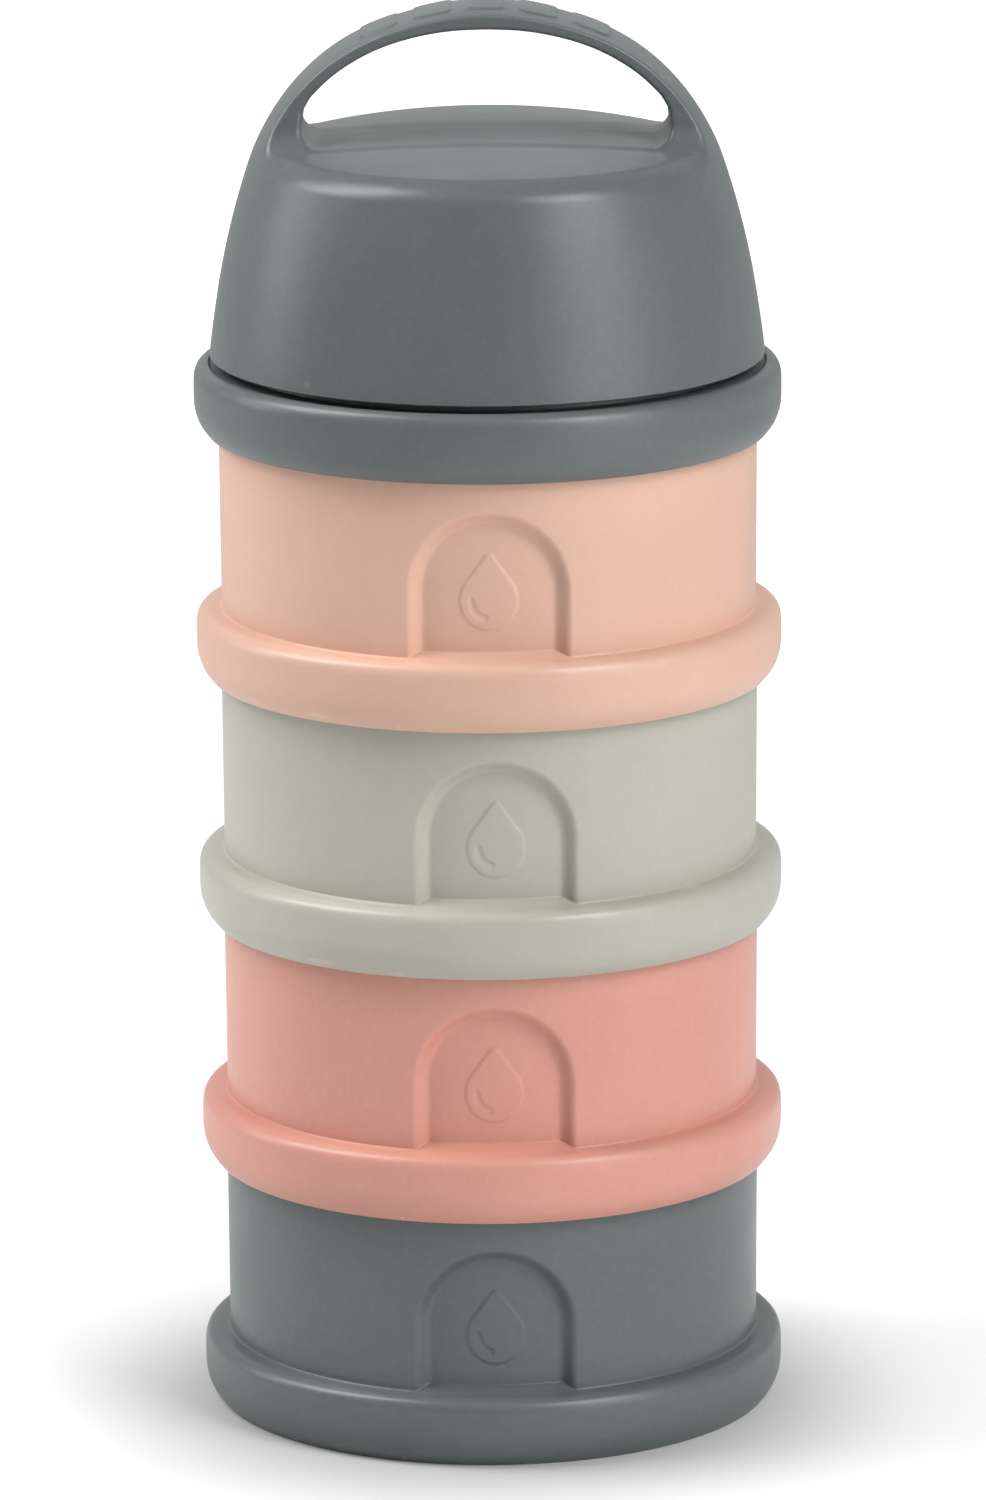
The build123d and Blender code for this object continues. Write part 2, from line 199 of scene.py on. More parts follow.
def wrap_grid(name, R, Z, theta, close_start, close_end, z_shift=0.0):
    """Closed body from rows (profile) by columns (angle) of radius and height."""
    rows, cols = R.shape
    X = R * np.sin(theta)[None, :]
    Y = -R * np.cos(theta)[None, :]
    V = np.stack([X, Y, Z + z_shift], -1).reshape(-1, 3)
    idx = np.arange(rows * cols).reshape(rows, cols)
    nxt = np.roll(idx, -1, axis=1)
    q = np.stack([idx[:-1], nxt[:-1], nxt[1:], idx[1:]], -1).reshape(-1, 4)
    faces = q.tolist()
    if close_start:
        faces.append(idx[0][::-1].tolist())
    if close_end:
        faces.append(idx[-1].tolist())
    if not close_start:          # ring-shaped body: last row meets the first
        q = np.stack([idx[-1], nxt[-1], nxt[0], idx[0]], -1).reshape(-1, 4)
        faces += q.tolist()
    return V, faces


# ---------------------------------------------------------------- canisters
def ring_curve(z0, shoulder):
    """Outside of a grip ring as dense points, from the foot to the shoulder."""
    low = spline_points([(RING_FOOT_R, 0.0), (43.0, 0.72), (43.56, 1.52),
                         (44.06, 2.62), (44.4, 4.0), (44.49, 5.2), (RING_R, 6.4),
                         (RING_R, 7.6), (44.42, 8.8), (44.1, 9.66), (43.5, 10.22),
                         shoulder], 40)
    return [(r, z + z0) for r, z in low]


def arch_depth(s, z, half, depth, w1, w3):
    """How far a wall is pushed in inside the arch outline: round over, round in."""
    q = half - np.hypot(s, np.maximum(z - ARCH_Z, 0.0))
    m = 2 * depth / (w1 + w3)
    a = np.clip(q, 0.0, w1)
    b = np.clip(q - w1, 0.0, w3)
    return m * a * a / (2 * w1) + m * (b - b * b / (2 * w3))


def drop_height(s, z):
    """Raised milk drop with a crescent glint, 0 or 1 with soft edges."""
    x, y = np.abs(s), z - 19.35
    r1, r2, h = 4.55, 0.75, 6.3
    b = (r1 - r2) / h
    a = math.sqrt(1 - b * b)
    k = -b * x + a * y
    d = np.where(k < 0, np.hypot(x, y) - r1,
                 np.where(k > a * h, np.hypot(x, y - h) - r2,
                          x * a + y * b - r1))
    body = 1 - smooth01((d + 0.22) / 0.4)
    # the glint: an arc cut out of the lower left of the drop
    ring = np.abs(np.hypot(s, y) - 2.75) - 0.42
    ang = np.degrees(np.arctan2(-y, -s))           # 0 left, 90 down
    ends = np.maximum(np.abs(ang - 38) - 40, 0) * 2.75 * math.pi / 180
    g = np.hypot(np.maximum(ring, 0), ends) + np.minimum(ring, 0)
    glint = 1 - smooth01((g + 0.15) / 0.35)
    return body * (1 - glint)


def columns(fine_half, fine_step, coarse_deg):
    a = fine_half / WALL_R_TOP
    n = int(round(2 * a / (fine_step / WALL_R_TOP)))
    front = np.linspace(-a, a, n + 1)
    m = int(math.ceil((2 * math.pi - 2 * a) / math.radians(coarse_deg)))
    back = np.linspace(a, 2 * math.pi - a, m + 1)[1:-1]
    return np.r_[front, back]


def canister_mesh(name, z0, turn=0.0):
    theta = columns(14.2, 0.25, 2.0)
    signed = (theta + math.pi) % (2 * math.pi) - math.pi
    s = signed * WALL_R_TOP
    ones = np.ones_like(theta)
    rim, floor_top = PITCH + NECK_H, FLOOR_Z + FLOOR_T
    R, Z = [], []

    def rows(pts):
        for r, z in pts:
            R.append(r * ones)
            Z.append(z * ones)

    # underside, gasket groove and the skirt's inside, with its thread
    rows(turned([(30.0, FLOOR_Z), (RIB_R0, FLOOR_Z, 0.3), (RIB_R0, RIB_Z, 0.35),
                 (RIB_R1, RIB_Z, 0.35), (RIB_R1, FLOOR_Z, 0.2),
                 (SKIRT_R, FLOOR_Z, 0.2), (SKIRT_R, 7.2)], arc=3, step=3.0))
    for z in np.linspace(6.9, 0.5, 22):
        h = ridges(theta, z * ones, 2.4 - THREAD_GAP)
        R.append(SKIRT_R - (SKIRT_R - SKIRT_THREAD_R) * h)
        Z.append(z * ones)
    rows(turned([(SKIRT_R, 0.4), (SKIRT_R, 0.0, 0.12), (RING_FOOT_R, 0.0, 0.1),
                 (RING_FOOT_R + 0.14, 0.2)], arc=3, step=1.0)[1:])
    # grip ring
    rows([p for p in ring_curve(0.0, (42.7, 10.48)) if p[1] > 0.32])
    # shoulder, which runs further in under the arch
    d0 = arch_depth(s, 12.0, ARCH_HALF, ARCH_DEPTH, ARCH_OUT, ARCH_IN)
    r_end = 40.95 - d0
    for t in (0.2, 0.45, 0.7, 0.88, 1.0):
        r = 42.7 + (r_end - 42.7) * t
        R.append(r)
        Z.append(10.5 + (42.6 - r) * 0.05 + np.maximum(40.8 - r, 0.0) * 0.36)
    z_end = Z[-1]
    for f in (25, 50, 75, 90):
        a = math.radians(f)
        R.append(r_end - 0.3 * math.sin(a))
        Z.append(z_end + 0.3 * (1 - math.cos(a)))
    z_foot = z_end + 0.3
    # wall with the arched recess and the emblem on its floor
    top = 35.0
    ts = np.r_[np.linspace(0.0, 1.0, 98)[1:]]
    for t in ts:
        z = z_foot + (top - z_foot) * t
        wall = WALL_R_LOW + (WALL_R_TOP - WALL_R_LOW) * (z - RING_H) / 27.2
        d = arch_depth(s, z, ARCH_HALF, ARCH_DEPTH, ARCH_OUT, ARCH_IN)
        R.append(wall - d + 0.2 * drop_height(s, z))
        Z.append(z)
    rows([(WALL_R_TOP - 0.01, 36.4), (WALL_R_TOP, PITCH + 0.2),
          (WALL_R_TOP, PITCH + 0.5), (40.72, PITCH + 0.66),
          (NECK_R + 0.06, PITCH + 0.9), (NECK_R, PITCH + 1.05)])
    # threaded neck
    for z in np.linspace(PITCH + 1.25, rim - 0.6, 26):
        h = ridges(theta, z * ones, PITCH + 2.4)
        R.append(NECK_R + (NECK_THREAD_R - NECK_R) * h)
        Z.append(z * ones)
    rows(turned([(NECK_R, rim - 0.5), (NECK_R, rim, 0.4), (BORE_R, rim, 0.4),
                 (BORE_R, rim - 0.8)], arc=4, step=0.8)[1:])
    # inside of the canister; it steps in behind the recess
    inner = turned([(BORE_R, rim - 1.0), (BORE_R, floor_top, 3.0),
                    (32.0, floor_top)], arc=6, step=1.15)
    for r, z in inner:
        d = arch_depth(s, z, ARCH_HALF + 0.9, ARCH_DEPTH, 1.4, 2.0)
        R.append(r - d * np.clip((r - 33.0) / 6.0, 0, 1))
        Z.append(z * ones)
    V, faces = wrap_grid(name, np.array(R), np.array(Z),
                         theta + math.radians(turn), True, True, z0)
    ob = make_object(name, V, faces)
    return ob


# ------------------------------------------------------------------ spout lid
def lid_mesh(name):
    theta = np.linspace(-math.pi, math.pi, 241)[:-1]
    ones = np.ones_like(theta)
    roof = 4 * PITCH + NECK_H + 0.05 + 1.5
    R, Z = [], []

    def rows(pts):
        for r, z in pts:
            R.append(r * ones)
            Z.append(z * ones)

    z = LID_Z
    rib = roof - 1.9
    rows(turned([(FUNNEL_R - 2.3 + 0.5, rib), (RIB_R1, rib, 0.35),
                 (RIB_R1, roof, 0.2), (SKIRT_R, roof, 0.2),
                 (SKIRT_R, z + 7.0)], arc=3, step=2.0))
    for h in np.linspace(z + 6.8, z + 0.4, 22):
        k = ridges(theta, h * ones, 4 * PITCH + 2.4 - THREAD_GAP)
        R.append(SKIRT_R - (SKIRT_R - SKIRT_THREAD_R) * k)
        Z.append(h * ones)
    rows(turned([(SKIRT_R, z + 0.3), (SKIRT_R, z, 0.12), (RING_FOOT_R, z, 0.1),
                 (RING_FOOT_R + 0.14, z + 0.2)], arc=3, step=1.0)[1:])
    rows([p for p in spline_points(
        [(RING_FOOT_R, z), (43.0, z + 0.72), (43.56, z + 1.52),
         (44.06, z + 2.62), (44.4, z + 4.0), (44.49, z + 5.2), (RING_R, z + 6.4),
         (RING_R, z + 7.7), (44.4, z + 8.9), (44.05, z + 9.8),
         (43.45, z + 10.38), (42.75, z + 10.58)], 40) if p[1] > z + 0.32])
    ledge = z + LID_TOP
    low = z + LID_CHANNEL
    rows(turned([(42.6, z + 10.61), (42.3, z + 10.62, 0.12), (41.95, low, 0.15),
                 (COLLAR_R, low, 0.25), (COLLAR_R, ledge + 1.0)], arc=3, step=1.2))
    for h in np.linspace(ledge + 1.2, z + COLLAR_TOP - 0.6, 26):
        k = ridges(theta, h * ones, LID_Z + LID_TOP + 2.6)
        R.append(COLLAR_R + (COLLAR_THREAD_R - COLLAR_R) * k)
        Z.append(h * ones)
    rows(turned([(COLLAR_R, z + COLLAR_TOP - 0.5), (COLLAR_R, z + COLLAR_TOP, 0.4),
                 (COLLAR_R_IN, z + COLLAR_TOP, 0.4), (COLLAR_R_IN, ledge, 0.4),
                 (FUNNEL_R, ledge, 0.4), (SPOUT_R, z + SPOUT_CONE_TOP, 4.0),
                 (SPOUT_R, z + SPOUT_TOP, 0.6),
                 (SPOUT_R - FUNNEL_T, z + SPOUT_TOP, 0.6),
                 (SPOUT_R - FUNNEL_T, z + SPOUT_CONE_TOP - 0.6, 4.0),
                 (FUNNEL_R - 2.3, roof + 0.4, 0.5), (FUNNEL_R - 2.3, rib, 0.4),
                 (FUNNEL_R - 2.3 + 0.45, rib)], arc=4, step=2.0))
    V, faces = wrap_grid(name, np.array(R), np.array(Z), theta, False, False)
    return make_object(name, V, faces)


# ------------------------------------------------------- overcap, as a field
def polyline_field(poly, rr, zz):
    """Signed distance to a closed polygon, negative inside, on a grid."""
    px, pz = np.meshgrid(rr, zz, indexing="ij")
    best = np.full(px.shape, 1e9)
    inside = np.zeros(px.shape, bool)
    for (x0, z0), (x1, z1) in zip(poly, np.roll(poly, -1, axis=0)):
        ex, ez = x1 - x0, z1 - z0
        ll = ex * ex + ez * ez
        if ll < 1e-12:
            continue
        t = np.clip(((px - x0) * ex + (pz - z0) * ez) / ll, 0, 1)
        best = np.minimum(best, (px - x0 - t * ex) ** 2 + (pz - z0 - t * ez) ** 2)
        if z0 != z1:
            hit = ((z0 > pz) != (z1 > pz)) & (px < x0 + (pz - z0) * ex / ez)
            inside ^= hit
    d = np.sqrt(best)
    return np.where(inside, -d, d)


class Table2D:
    """A field sampled on a regular grid, read back bilinearly."""

    def __init__(self, poly, r0, r1, z0, z1, h):
        self.r0, self.z0, self.h = r0, z0, h
        self.nr = int((r1 - r0) / h) + 2
        self.nz = int((z1 - z0) / h) + 2
        self.t = polyline_field(np.asarray(poly), r0 + h * np.arange(self.nr),
                                z0 + h * np.arange(self.nz))

    def __call__(self, r, z):
        u = np.clip((r - self.r0) / self.h, 0, self.nr - 1.001)
        v = np.clip((z - self.z0) / self.h, 0, self.nz - 1.001)
        i, j = u.astype(int), v.astype(int)
        fu, fv = u - i, v - j
        t = self.t
        return ((t[i, j] * (1 - fu) + t[i + 1, j] * fu) * (1 - fv)
                + (t[i, j + 1] * (1 - fu) + t[i + 1, j + 1] * fu) * fv)


half_dome = spline_points([(r, z) for z, r in DOME], 160)
dome_poly = [(r, z) for r, z in half_dome]
dome_poly = dome_poly + [(-r, z) for r, z in reversed(dome_poly)]
dome_field = Table2D(dome_poly, -1.0, 50.0, 158.0, 222.0, 0.2)

hollow_pts = turned([(-5.0, 150.0), (CAP_BORE_R, 150.0), (CAP_BORE_R, CAP_BORE_TOP, 1.0),
                     (38.8, CAP_BORE_TOP + 1.0, 1.0), (37.2, 180.0), (35.9, 185.0),
                     (34.7, 189.2, 5.0), (32.8, 192.5, 3.0),
                     (18.2, CAP_CEILING, 0.6), (18.2, 191.6, 0.4),
                     (SEAL_R + 0.3, 191.6, 0.3), (SEAL_R + 0.3, 192.95, 0.2),
                     (-5.0, 192.95)], arc=6, step=50.0)
hollow_field = Table2D(hollow_pts, -1.0, 50.0, 158.0, 222.0, 0.2)

right_side = spline_points(OPENING, 40)
gap = [(-x, z) for x, z in right_side[::-1][:-1]] + [(x, z) for x, z in right_side]
gap += [(27.35, 201.0), (27.6, 199.0), (27.6, 185.0)]
gap = [(-27.6, 185.0), (-27.6, 199.0), (-27.35, 201.0)] + gap
gap_field = Table2D(gap, -45.0, 45.0, 180.0, 225.0, 0.2)

BARS = (-16.0, -8.0, 0.0, 8.0, 16.0)


def cap_field(x, y, z):
    r = np.hypot(x, y)
    ay = np.abs(y)
    # dome, with the raised grip bars on its crown
    bars = np.zeros_like(r)
    for bx in BARS:
        qx, qy = np.abs(x - bx) - (2.8 - 1.3), ay - (5.3 - 1.3)
        d = np.hypot(np.maximum(qx, 0), np.maximum(qy, 0)) \
            + np.minimum(np.maximum(qx, qy), 0) - 1.3
        bars = np.maximum(bars, 1 - smooth01((d + 0.25) / 0.5))
    dome = dome_field(r, z) - 0.24 * bars * (z > 203)
    # deck: two halves that fall away from the ridge where the tool halves met
    deck = DECK_Z - x * x / 680.0 - ay * ay / 2628.0 \
        - np.where(y < 0, 0.053 * ay, 0.0435 * ay + x * x * ay / 40000.0)
    above = z - deck
    width = STRAP_HALF - 0.1 + 0.9 * smooth01((202.5 - z) / 7.0)
    beside = ay - width
    v1 = round_max(-above, -beside, 3.6)
    belly = gap_field(x, z) - 0.03 * ay + 0.12
    v2 = round_max(-above, belly, 3.0)
    void = smin(v1, v2, 0.8)
    # crisp strap edges, a soft edge all round the deck
    t = smooth01((ay - width - 0.5) / 7.0) * smooth01((201.5 - z) / 3.0)
    body = round_max(dome, -void, 0.38 + 2.4 * t)
    # lower lip and the hollow
    body = round_max(body, CAP_Z - z, 0.25)
    theta = np.arctan2(x, -y)
    rr = r
    low = z < 172
    if np.any(low):
        k = np.where(low, ridges(theta, z, LID_Z + LID_TOP + 2.6 - THREAD_GAP), 0.0)
        rr = r + (CAP_BORE_R - CAP_THREAD_R) * k
    return round_max(body, -hollow_field(rr, z), 0.25)


def surface_net(field, xs, ys, zs):
    """Quads round the zero surface of a field on an uneven grid."""
    gx, gy, gz = np.meshgrid(xs, ys, zs, indexing="ij")
    F = field(gx, gy, gz)
    del gx, gy, gz
    nx, ny, nz = F.shape
    cells, pts, quads = [], [], []
    S = F < 0
    axes = (xs, ys, zs)
    cell_n = (nx - 1, ny - 1, nz - 1)
    for ax in range(3):
        a = [slice(None)] * 3
        b = [slice(None)] * 3
        a[ax], b[ax] = slice(0, -1), slice(1, None)
        cross = S[tuple(a)] != S[tuple(b)]
        ijk = np.argwhere(cross)
        lo = F[tuple(a)][cross]
        hi = F[tuple(b)][cross]
        t = lo / (lo - hi)
        p = np.stack([axes[d][ijk[:, d]] for d in range(3)], -1).astype(float)
        nxt = axes[ax][ijk[:, ax] + 1]
        p[:, ax] += t * (nxt - p[:, ax])
        o1, o2 = (ax + 1) % 3, (ax + 2) % 3
        around = []
        for d1, d2 in ((-1, -1), (0, -1), (0, 0), (-1, 0)):
            c = ijk.copy()
            c[:, o1] += d1
            c[:, o2] += d2
            cid = (c[:, 0] * cell_n[1] + c[:, 1]) * cell_n[2] + c[:, 2]
            around.append(cid)
            cells.append(cid)
            pts.append(p)
        q = np.stack(around, -1)
        q = np.where((lo < 0)[:, None], q, q[:, ::-1])
        quads.append(q)
    cells = np.concatenate(cells)
    pts = np.concatenate(pts)
    quads = np.concatenate(quads)
    ids, inv = np.unique(cells, return_inverse=True)
    V = np.stack([np.bincount(inv, pts[:, d]) for d in range(3)], -1)
    V /= np.bincount(inv)[:, None]
    return V, np.searchsorted(ids, quads)


def gradient(field, V, e=0.03):
    g = np.empty_like(V)
    for d in range(3):
        o = np.zeros(3)
        o[d] = e
        g[:, d] = (field(*(V + o).T) - field(*(V - o).T)) / (2 * e)
    return g


def settle(field, V, quads, rounds, ease=0.5):
    """Even the mesh out along the surface and pull it onto the surface."""
    n = len(V)
    e = np.concatenate([quads[:, [0, 1]], quads[:, [1, 2]], quads[:, [2, 3]],
                        quads[:, [3, 0]]])
    e = np.unique(np.sort(e, axis=1), axis=0)
    deg = np.bincount(e.ravel(), minlength=n)[:, None]
    for k in range(rounds + 1):
        for _ in range(2):
            f = field(*V.T)
            g = gradient(field, V)
            gg = np.maximum((g * g).sum(1), 0.15)
            step = np.clip(f / gg, -0.4, 0.4)[:, None] * g
            V = V - step
        if k == rounds:
            break
        acc = np.zeros_like(V)
        for d in range(3):
            acc[:, d] = np.bincount(e[:, 0], V[e[:, 1], d], n) \
                + np.bincount(e[:, 1], V[e[:, 0], d], n)
        V = V + ease * (acc / deg - V)
    g = gradient(field, V)
    return V, g / np.linalg.norm(g, axis=1)[:, None]


def spaced(*runs):
    out = [runs[0][0]]
    for a, b, h in runs:
        n = max(1, int(round((b - a) / h)))
        out += list(a + (b - a) * np.arange(1, n + 1) / n)
    return np.array(out)


def cap_mesh(name):
    fine = 0.45
    xs = spaced((-43.1, -37.0, 0.7), (-37.0, 37.0, fine), (37.0, 43.1, 0.7))
    ys = spaced((-43.1, -16.0, 0.6), (-16.0, 16.0, fine), (16.0, 43.1, 0.6))
    zs = spaced((161.93, 164.0, 0.3), (164.0, 172.0, 0.5), (172.0, 190.0, 1.2),
                (190.0, 218.0, fine * 0.93))
    V, quads = surface_net(cap_field, xs, ys, zs)
    V, N = settle(cap_field, V, quads, 4)
    ob = make_object(name, V, quads.tolist())
    ob.data.normals_split_custom_set_from_vertices([tuple(n) for n in N.tolist()])
    return ob


# ---------------------------------------------------------------- materials
def srgb(r, g, b):
    return tuple(((c / 255 + 0.055) / 1.055) ** 2.4 if c > 10 else c / 255 / 12.92
                 for c in (r, g, b))


class Nodes:
    def __init__(self, mat):
        mat.use_nodes = True
        self.t = mat.node_tree
        self.bsdf = self.t.nodes["Principled BSDF"]

    def add(self, kind, **values):
        n = self.t.nodes.new(kind)
        for k, v in values.items():
            if hasattr(n, k):
                setattr(n, k, v)
            else:
                n.inputs[k.replace("_", " ")].default_value = v
        return n

    def link(self, a, b):
        self.t.links.new(a, b)

    def noise(self, scale, detail=3.0, rough=0.5, distortion=0.0):
        n = self.add("ShaderNodeTexNoise")
        self.link(self.coord.outputs["Object"], n.inputs["Vector"])
        n.inputs["Scale"].default_value = scale
        n.inputs["Detail"].default_value = detail
        n.inputs["Roughness"].default_value = rough
        n.inputs["Distortion"].default_value = distortion
        return n.outputs["Fac"]

    def remap(self, fac, a, b, c, d):
        m = self.add("ShaderNodeMapRange")
        self.link(fac, m.inputs["Value"])
        for k, v in zip(("From Min", "From Max", "To Min", "To Max"), (a, b, c, d)):
            m.inputs[k].default_value = v
        return m.outputs["Result"]

    def mix(self, fac, c1, c2, blend="MIX"):
        m = self.add("ShaderNodeMix", data_type="RGBA")
        m.blend_type = blend
        if hasattr(fac, "links"):
            self.link(fac, m.inputs[0])
        else:
            m.inputs[0].default_value = fac
        for k, c in ((6, c1), (7, c2)):
            if hasattr(c, "links"):
                self.link(c, m.inputs[k])
            else:
                m.inputs[k].default_value = (*c, 1)
        return m.outputs[2]

    def maths(self, op, a, b):
        m = self.add("ShaderNodeMath", operation=op)
        for k, v in enumerate((a, b)):
            if hasattr(v, "links"):
                self.link(v, m.inputs[k])
            else:
                m.inputs[k].default_value = v
        return m.outputs[0]


def moulded_plastic(name, base, pale, rough=(0.30, 0.38), grain=1.0):
    """Satin moulded polypropylene: cloudy pigment, fine grain, pale edges that are
    partly rubbed wear and partly a painted highlight.
    """
    mat = bpy.data.materials.new(name)
    n = Nodes(mat)
    n.coord = n.add("ShaderNodeTexCoord")
    cloud = n.remap(n.noise(22.0, 3.0, 0.55, 0.4), 0.35, 0.65, 0.0, 1.0)
    speck = n.remap(n.noise(900.0, 2.0, 0.6), 0.45, 0.75, 0.0, 1.0)
    dark = tuple(c * 0.955 for c in base)
    light = tuple(min(1.0, c * 1.03 + 0.002) for c in base)
    col = n.mix(cloud, dark, light)
    col = n.mix(n.maths("MULTIPLY", speck, 0.10), col, pale)
    geo = n.add("ShaderNodeNewGeometry")
    # pale line on sharp edges such as the rings' lower rims: partly rubbed wear, partly
    # a painted highlight
    edge = n.remap(geo.outputs["Pointiness"], 0.52, 0.60, 0.0, 1.0)
    wear_and_edge_highlight = n.maths("MULTIPLY", edge,
                   n.remap(n.noise(90.0, 2.0, 0.5), 0.3, 0.7, 0.20, 0.34))
    col = n.mix(wear_and_edge_highlight, col, pale)
    n.link(col, n.bsdf.inputs["Base Color"])
    r = n.remap(n.noise(55.0, 5.0, 0.6, 0.3), 0.3, 0.7, rough[0], rough[1])
    n.link(r, n.bsdf.inputs["Roughness"])
    fine = n.noise(2600.0, 2.0, 0.5)
    broad = n.noise(240.0, 3.0, 0.5)
    height = n.maths("ADD", fine, n.maths("MULTIPLY", broad, 0.8))
    bump = n.add("ShaderNodeBump")
    bump.inputs["Strength"].default_value = 0.12 * grain
    bump.inputs["Distance"].default_value = 0.00008
    n.link(height, bump.inputs["Height"])
    n.link(bump.outputs["Normal"], n.bsdf.inputs["Normal"])
    n.bsdf.inputs["IOR"].default_value = 1.49
    n.bsdf.inputs["Specular IOR Level"].default_value = 0.5
    n.bsdf.inputs["Subsurface Weight"].default_value = 0.0
    return mat


def silicone(name):
    mat = bpy.data.materials.new(name)
    n = Nodes(mat)
    n.coord = n.add("ShaderNodeTexCoord")
    cloud = n.remap(n.noise(60.0, 3.0), 0.35, 0.65, 0.0, 1.0)
    col = n.mix(cloud, srgb(214, 214, 208), srgb(232, 232, 227))
    n.link(col, n.bsdf.inputs["Base Color"])
    n.link(n.remap(n.noise(140.0, 4.0), 0.3, 0.7, 0.42, 0.58),
           n.bsdf.inputs["Roughness"])
    bump = n.add("ShaderNodeBump")
    bump.inputs["Strength"].default_value = 0.2
    bump.inputs["Distance"].default_value = 0.0001
    n.link(n.noise(1500.0, 2.0), bump.inputs["Height"])
    n.link(bump.outputs["Normal"], n.bsdf.inputs["Normal"])
    n.bsdf.inputs["IOR"].default_value = 1.41
    return mat


SLATE = moulded_plastic("slate_plastic", srgb(98, 105, 105), srgb(140, 147, 146))
PEACH = moulded_plastic("peach_plastic", srgb(225, 182, 161), srgb(242, 212, 197))
SAGE = moulded_plastic("sage_plastic", srgb(184, 183, 171), srgb(212, 212, 202))
CORAL = moulded_plastic("coral_plastic", srgb(217, 154, 138), srgb(236, 190, 178))
SILICONE = silicone("silicone")

# ----------------------------------------------------------------- assembly
for k, level, mat, slot in ((1, 3, PEACH, "peach_plastic"),
                            (2, 2, SAGE, "sage_plastic"),
                            (3, 1, CORAL, "coral_plastic"),
                            (4, 0, SLATE, "slate_plastic")):
    can = canister_mesh(f"canister_{k}_shell", level * PITCH,
                        TURN[k])
    can.data.materials.append(mat)
    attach(can, "base" if k == 4 else f"can_{k}")
    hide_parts(f"canister_{k}")

lid = lid_mesh("spout_lid_shell")
lid.data.materials.append(SLATE)
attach(lid, "lid")
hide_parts("spout_lid")

cap = cap_mesh("handle_cap_shell")
cap.data.materials.append(SLATE)
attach(cap, "cap")
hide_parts("handle_cap")

for node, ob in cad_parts.items():
    if "gasket" in node or node == "spout_seal":
        for i in range(len(ob.material_slots)):
            ob.material_slots[i].material = SILICONE
        if not ob.material_slots:
            ob.data.materials.append(SILICONE)

# ----------------------------------------------------------------- the stage
FLOOR_BASE = 0.45
GLOW_AT, GLOW_SPILL = (-0.003, -0.006, 0.0), (0.15, 0.55, 0.77, 0.30)
WORLD_FILL, WORLD_BACK = 0.125, 0.40
# glow bands that fall to nothing close to the object: painted soft shadow on the floor
# round the base
GLOW_AND_PAINTED_SHADOW = ((0.024, 0.080, 0.64), (0.10, 1.00, 0.42))
floor_mesh = bpy.data.meshes.new("floor")
floor_mesh.from_pydata([(-6, -6, 0), (6, -6, 0), (6, 6, 0), (-6, 6, 0)], [],
                       [(0, 1, 2, 3)])
floor = bpy.data.objects.new("floor", floor_mesh)
bpy.context.collection.objects.link(floor)
fmat = bpy.data.materials.new("floor_paper")
fmat.use_nodes = True
ft = fmat.node_tree
fb = ft.nodes["Principled BSDF"]
fb.inputs["Base Color"].default_value = (FLOOR_BASE, FLOOR_BASE, FLOOR_BASE, 1)
fb.inputs["Roughness"].default_value = 0.9
fb.inputs["Specular IOR Level"].default_value = 0.1
fb.inputs["Emission Color"].default_value = (1, 1, 1, 1)
# a lit white sweep: the paper glows softly, less and less towards the object, which
# paints a soft shadow round its base
f_coord = ft.nodes.new("ShaderNodeTexCoord")
f_shift = ft.nodes.new("ShaderNodeVectorMath")
f_shift.operation = "SUBTRACT"
f_shift.inputs[1].default_value = GLOW_AT
ft.links.new(f_coord.outputs["Object"], f_shift.inputs[0])
f_len = ft.nodes.new("ShaderNodeVectorMath")
f_len.operation = "LENGTH"
ft.links.new(f_shift.outputs["Vector"], f_len.inputs[0])
f_sum = None
for r0, r1, amount in GLOW_AND_PAINTED_SHADOW:
    f_map = ft.nodes.new("ShaderNodeMapRange")
    f_map.interpolation_type = "SMOOTHSTEP"
    for key, val in (("From Min", r0), ("From Max", r1), ("To Min", 0.0),
                     ("To Max", amount)):
        f_map.inputs[key].default_value = val
    ft.links.new(f_len.outputs["Value"], f_map.inputs["Value"])
    if f_sum is None:
        f_sum = f_map.outputs[0]
    else:
        f_add = ft.nodes.new("ShaderNodeMath")
        f_add.operation = "ADD"
        ft.links.new(f_sum, f_add.inputs[0])
        ft.links.new(f_map.outputs[0], f_add.inputs[1])
        f_sum = f_add.outputs[0]
# the glow whitens the picture's ground; less of it spills on to the object
f_path = ft.nodes.new("ShaderNodeLightPath")
f_far = ft.nodes.new("ShaderNodeMapRange")
f_far.interpolation_type = "SMOOTHSTEP"
for key, val in zip(("From Min", "From Max", "To Min", "To Max"), GLOW_SPILL):
    f_far.inputs[key].default_value = val
ft.links.new(f_len.outputs["Value"], f_far.inputs["Value"])
f_spill = ft.nodes.new("ShaderNodeMapRange")
f_spill.inputs["To Max"].default_value = 1.0
ft.links.new(f_far.outputs[0], f_spill.inputs["To Min"])
ft.links.new(f_path.outputs["Is Camera Ray"], f_spill.inputs["Value"])
f_out = ft.nodes.new("ShaderNodeMath")
f_out.operation = "MULTIPLY"
ft.links.new(f_sum, f_out.inputs[0])
ft.links.new(f_spill.outputs[0], f_out.inputs[1])
ft.links.new(f_out.outputs[0], fb.inputs["Emission Strength"])
floor_mesh.materials.append(fmat)

world = bpy.data.worlds.new("studio")
bpy.context.scene.world = world
world.use_nodes = True
wt = world.node_tree
bg = wt.nodes["Background"]
bg.inputs["Color"].default_value = (1.0, 1.0, 1.0, 1)
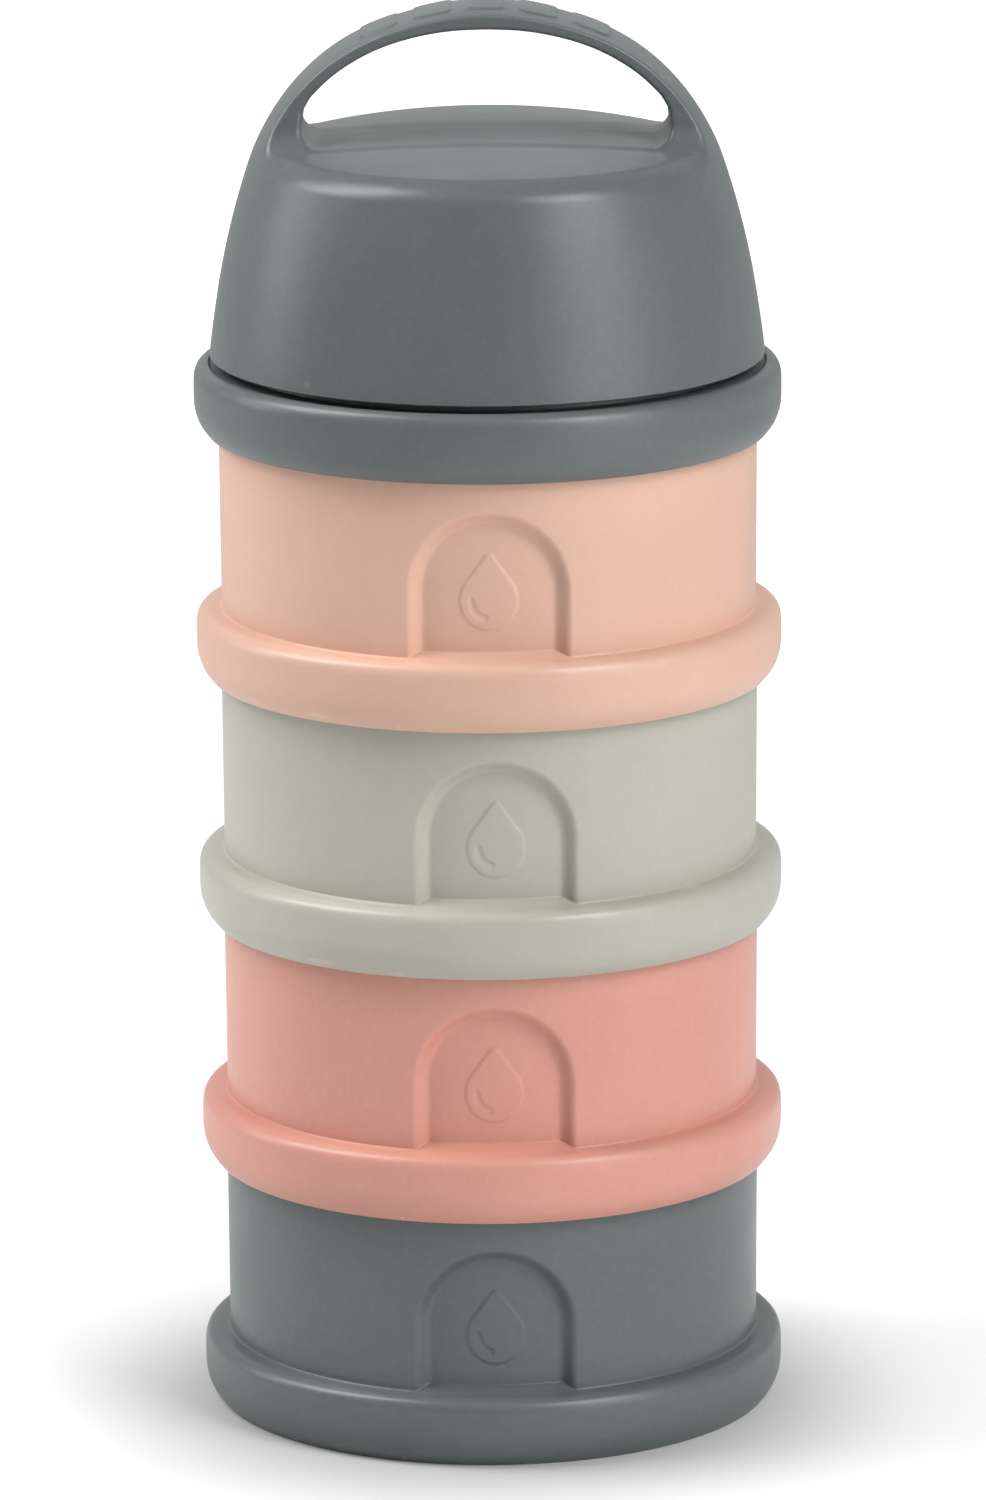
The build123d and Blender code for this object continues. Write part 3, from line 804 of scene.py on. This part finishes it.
# even fill, and a white wall behind the object that only its gloss picks up
w_coord = wt.nodes.new("ShaderNodeTexCoord")
w_axes = wt.nodes.new("ShaderNodeSeparateXYZ")
wt.links.new(w_coord.outputs["Generated"], w_axes.inputs[0])
w_parts = []
for axis, v0, v1 in (("Y", 0.15, 0.85), ("Z", 0.75, 0.30)):
    w_map = wt.nodes.new("ShaderNodeMapRange")
    w_map.interpolation_type = "SMOOTHSTEP"
    w_map.inputs["From Min"].default_value = min(v0, v1)
    w_map.inputs["From Max"].default_value = max(v0, v1)
    w_map.inputs["To Min"].default_value = 0.0 if v0 < v1 else 1.0
    w_map.inputs["To Max"].default_value = 1.0 if v0 < v1 else 0.0
    wt.links.new(w_axes.outputs[axis], w_map.inputs["Value"])
    w_parts.append(w_map.outputs[0])
w_mul = wt.nodes.new("ShaderNodeMath")
w_mul.operation = "MULTIPLY"
wt.links.new(w_parts[0], w_mul.inputs[0])
wt.links.new(w_parts[1], w_mul.inputs[1])
w_add = wt.nodes.new("ShaderNodeMath")
w_add.operation = "MULTIPLY_ADD"
w_add.inputs[1].default_value = WORLD_BACK
w_add.inputs[2].default_value = WORLD_FILL
wt.links.new(w_mul.outputs[0], w_add.inputs[0])
wt.links.new(w_add.outputs[0], bg.inputs["Strength"])


def softbox(name, az, el, dist, w, h, power, colour=(1, 1, 1), target=(0, 0, 0.11)):
    """Area light at azimuth az (0 = camera side, 90 = right), facing the object."""
    data = bpy.data.lights.new(name, "AREA")
    data.shape = "RECTANGLE"
    data.size, data.size_y = w, h
    data.energy = power
    data.color = colour
    ob = bpy.data.objects.new(name, data)
    bpy.context.collection.objects.link(ob)
    a, e = math.radians(az), math.radians(el)
    t = Vector(target)
    ob.location = t + dist * Vector((math.sin(a) * math.cos(e),
                                     -math.cos(a) * math.cos(e), math.sin(e)))
    ob.rotation_mode = "QUATERNION"
    ob.rotation_quaternion = (t - ob.location).to_track_quat("-Z", "Y")
    return ob


softbox("side_left", -91, 50, 1.0, 0.45, 0.65, 7.6)
softbox("side_left_low", -100, 18, 1.0, 0.40, 0.50, 1.8)
softbox("key_high", 47, 44, 1.0, 0.40, 0.50, 5.2)
softbox("key_right", 48, 14, 1.0, 0.60, 0.55, 2.7)
softbox("side_right", 72, 16, 1.0, 0.45, 0.65, 0.3)
softbox("back_wash", 180, 35, 1.2, 1.2, 0.9, 0.9)

scene = bpy.context.scene
scene.view_settings.view_transform = "Standard"
scene.view_settings.look = "None"
